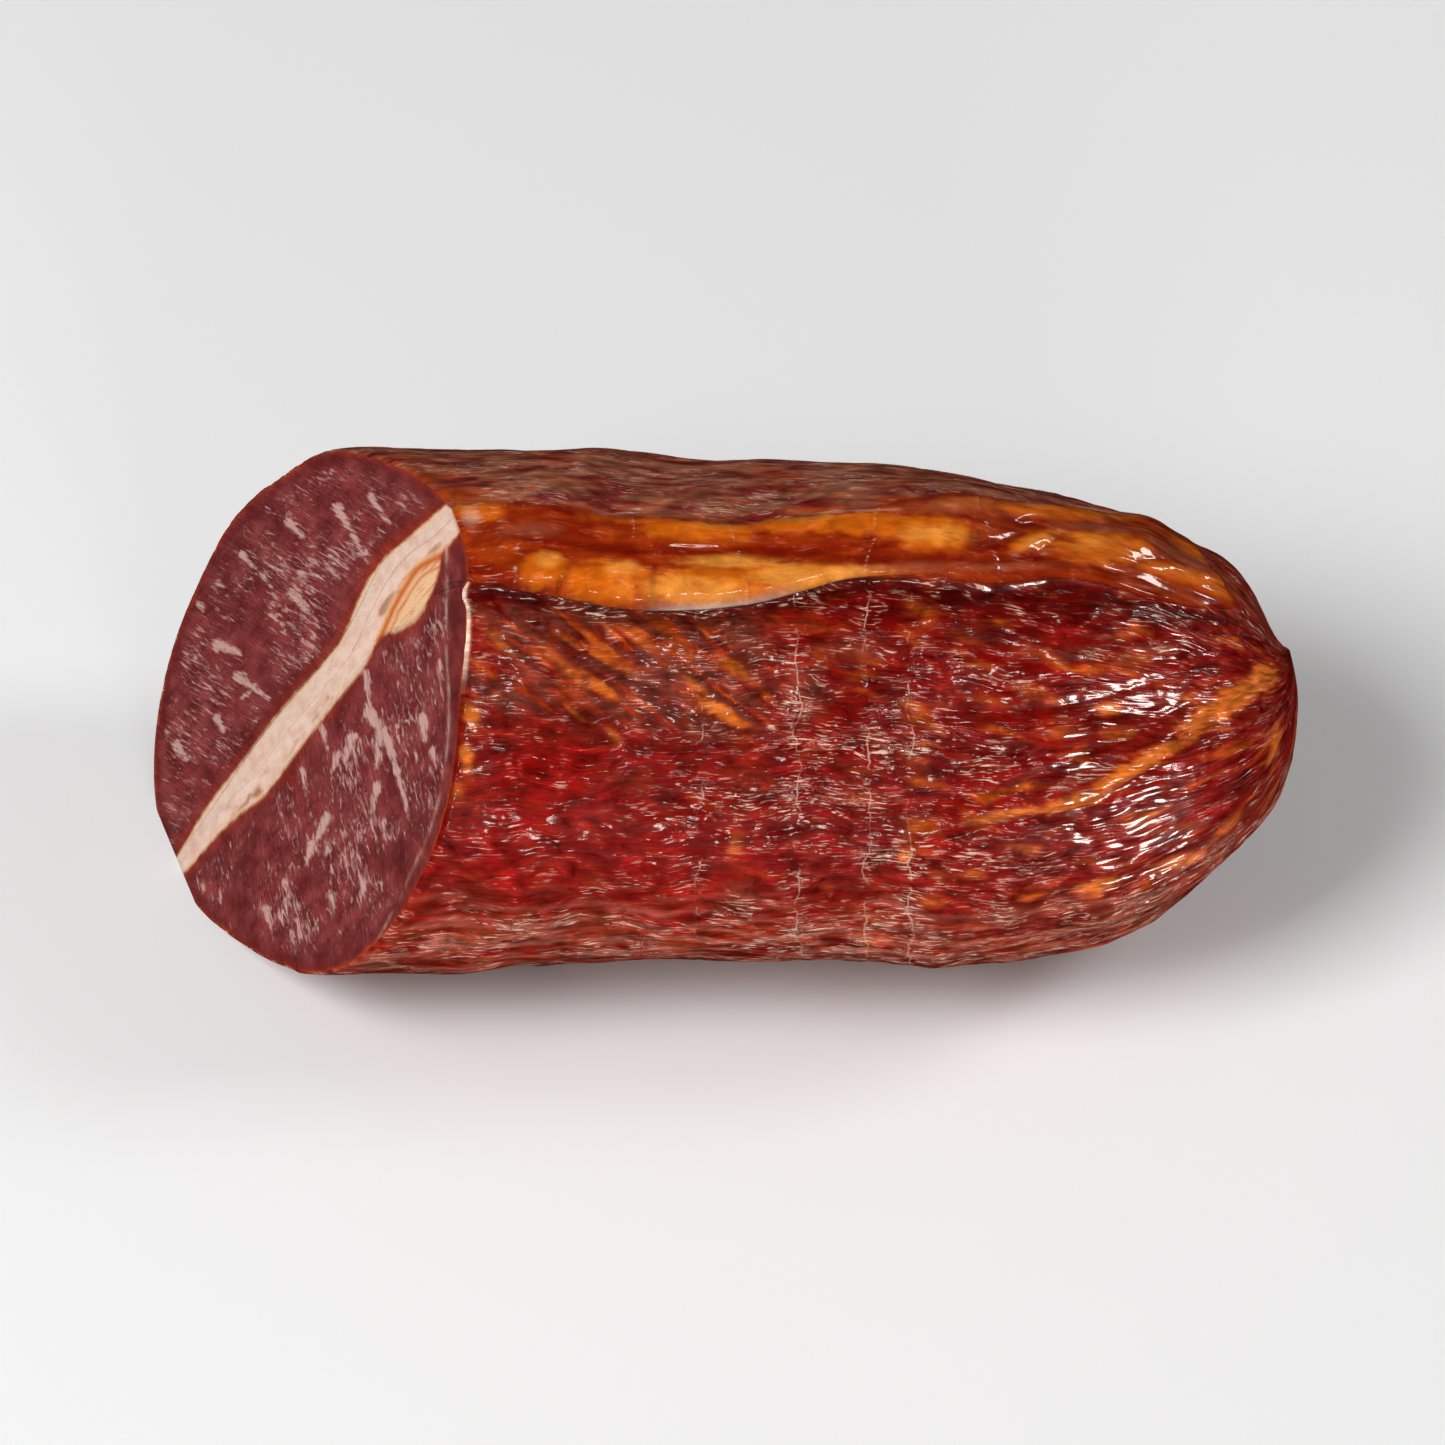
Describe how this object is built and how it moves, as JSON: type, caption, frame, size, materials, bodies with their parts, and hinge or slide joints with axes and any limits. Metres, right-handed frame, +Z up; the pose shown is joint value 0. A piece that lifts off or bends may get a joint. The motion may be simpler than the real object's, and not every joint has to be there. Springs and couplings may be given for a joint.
{
  "type": "cured black pork loin",
  "caption": "Piece of cured pork loin lying on its side, rounded and gathered at one end and cut on a slant at the other, with a seam of white fat on the cut and a strip of fat along the top.",
  "frame": {"origin": "middle of the footprint of the bounding box, on the surface it lies on", "axes": "+X along the piece from the slanted cut to the gathered end, +Z up, -Y the front that the fat strip's crease faces"},
  "size_m": [0.185, 0.0836, 0.0838],
  "materials": {
    "front_meat": "glossy wrinkled deep red skin, purple-brown marbled meat on the cut",
    "fat": "glossy amber fat under the casing, creamy white on the cut",
    "back_meat": "satin dark brown skin, purple-brown marbled meat on the cut"
  },
  "bodies": {
    "root": {"front_loin": "front_meat", "fat_layer": "fat", "back_loin": "back_meat"}
  },
  "joints": []
}
